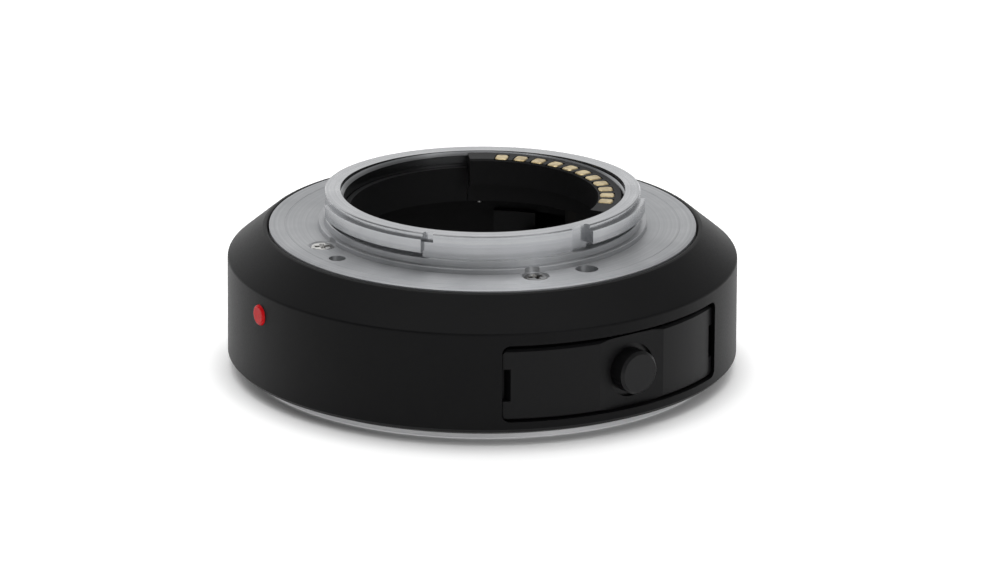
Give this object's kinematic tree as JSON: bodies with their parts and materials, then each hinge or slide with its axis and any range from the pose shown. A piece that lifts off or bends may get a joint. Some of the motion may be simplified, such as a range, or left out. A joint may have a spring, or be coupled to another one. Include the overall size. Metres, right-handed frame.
{
  "type": "lens mount adapter",
  "caption": "Short black barrel between a silver camera-side bayonet and a lens-side bayonet, with gold contacts, a sprung lens lock pin and a release button.",
  "frame": {"origin": "on the optical axis, in the plane of the lens-side flange face", "axes": "+Z along the optical axis towards the camera, -Y through the release button, +X through the contacts"},
  "size_m": [0.0678, 0.0684, 0.0253],
  "materials": {
    "black_anodised_aluminium": "fine matt black anodising",
    "plated_metal": "satin plating with fine turning lines",
    "screw_steel": "plain, slightly polished",
    "spring_steel": "plain",
    "black_moulding": "matt black moulding",
    "black_button": "smooth black",
    "black_cover": "fine-grained black",
    "gold_plate": "gold-plated, satin",
    "red_enamel": "glossy red enamel",
    "black_film": "smooth film with a black cover layer"
  },
  "bodies": {
    "barrel": {"main_body": "black_anodised_aluminium", "camera_mount": "plated_metal", "camera_mount_screws": "screw_steel", "camera_contact_block": "black_moulding", "camera_contact_pads": "gold_plate", "contact_block_screws": "screw_steel", "light_baffle": "black_moulding", "baffle_screws": "screw_steel", "lens_mount": "plated_metal", "lens_mount_spring": "spring_steel", "lens_mount_screws": "screw_steel", "lens_contact_carrier": "black_moulding", "carrier_screws": "screw_steel", "contact_coils": "spring_steel", "flex_circuit": "black_film", "lock_pin_spring": "spring_steel", "button_cover": "black_cover", "index_bead": "red_enamel"},
    "button": {"release_button": "black_button"},
    "locking_pin": {"lock_pin": "spring_steel"},
    "contact_1": {"lens_contact_pin_1": "gold_plate"},
    "contact_2": {"lens_contact_pin_2": "gold_plate"},
    "contact_3": {"lens_contact_pin_3": "gold_plate"},
    "contact_4": {"lens_contact_pin_4": "gold_plate"},
    "contact_5": {"lens_contact_pin_5": "gold_plate"},
    "contact_6": {"lens_contact_pin_6": "gold_plate"},
    "contact_7": {"lens_contact_pin_7": "gold_plate"},
    "contact_8": {"lens_contact_pin_8": "gold_plate"},
    "contact_9": {"lens_contact_pin_9": "gold_plate"}
  },
  "joints": [
    {"name": "button_press", "type": "slide", "parent": "barrel", "child": "button", "axis": [0, 1, 0], "range_m": [0, 0.0013], "stiffness_N_per_m": 300, "springref_m": -0.002},
    {"name": "lock_pin_slide", "type": "slide", "parent": "barrel", "child": "locking_pin", "axis": [0, 0, 1], "range_m": [0, 0.00105], "stiffness_N_per_m": 300, "springref_m": -0.002, "deforming": ["lock_pin_spring"]},
    {"name": "contact_1_slide", "type": "slide", "parent": "barrel", "child": "contact_1", "axis": [0, 0, 1], "range_m": [0, 0.0008], "stiffness_N_per_m": 150, "springref_m": -0.0008, "deforming": ["contact_coils"]},
    {"name": "contact_2_slide", "type": "slide", "parent": "barrel", "child": "contact_2", "axis": [0, 0, 1], "range_m": [0, 0.0008], "stiffness_N_per_m": 150, "springref_m": -0.0008, "deforming": ["contact_coils"]},
    {"name": "contact_3_slide", "type": "slide", "parent": "barrel", "child": "contact_3", "axis": [0, 0, 1], "range_m": [0, 0.0008], "stiffness_N_per_m": 150, "springref_m": -0.0008, "deforming": ["contact_coils"]},
    {"name": "contact_4_slide", "type": "slide", "parent": "barrel", "child": "contact_4", "axis": [0, 0, 1], "range_m": [0, 0.0008], "stiffness_N_per_m": 150, "springref_m": -0.0008, "deforming": ["contact_coils"]},
    {"name": "contact_5_slide", "type": "slide", "parent": "barrel", "child": "contact_5", "axis": [0, 0, 1], "range_m": [0, 0.0008], "stiffness_N_per_m": 150, "springref_m": -0.0008, "deforming": ["contact_coils"]},
    {"name": "contact_6_slide", "type": "slide", "parent": "barrel", "child": "contact_6", "axis": [0, 0, 1], "range_m": [0, 0.0008], "stiffness_N_per_m": 150, "springref_m": -0.0008, "deforming": ["contact_coils"]},
    {"name": "contact_7_slide", "type": "slide", "parent": "barrel", "child": "contact_7", "axis": [0, 0, 1], "range_m": [0, 0.0008], "stiffness_N_per_m": 150, "springref_m": -0.0008, "deforming": ["contact_coils"]},
    {"name": "contact_8_slide", "type": "slide", "parent": "barrel", "child": "contact_8", "axis": [0, 0, 1], "range_m": [0, 0.0008], "stiffness_N_per_m": 150, "springref_m": -0.0008, "deforming": ["contact_coils"]},
    {"name": "contact_9_slide", "type": "slide", "parent": "barrel", "child": "contact_9", "axis": [0, 0, 1], "range_m": [0, 0.0008], "stiffness_N_per_m": 150, "springref_m": -0.0008, "deforming": ["contact_coils"]}
  ],
  "couplings": [
    {"joint": "lock_pin_slide", "follows": "button_press", "ratio": 0.8}
  ]
}
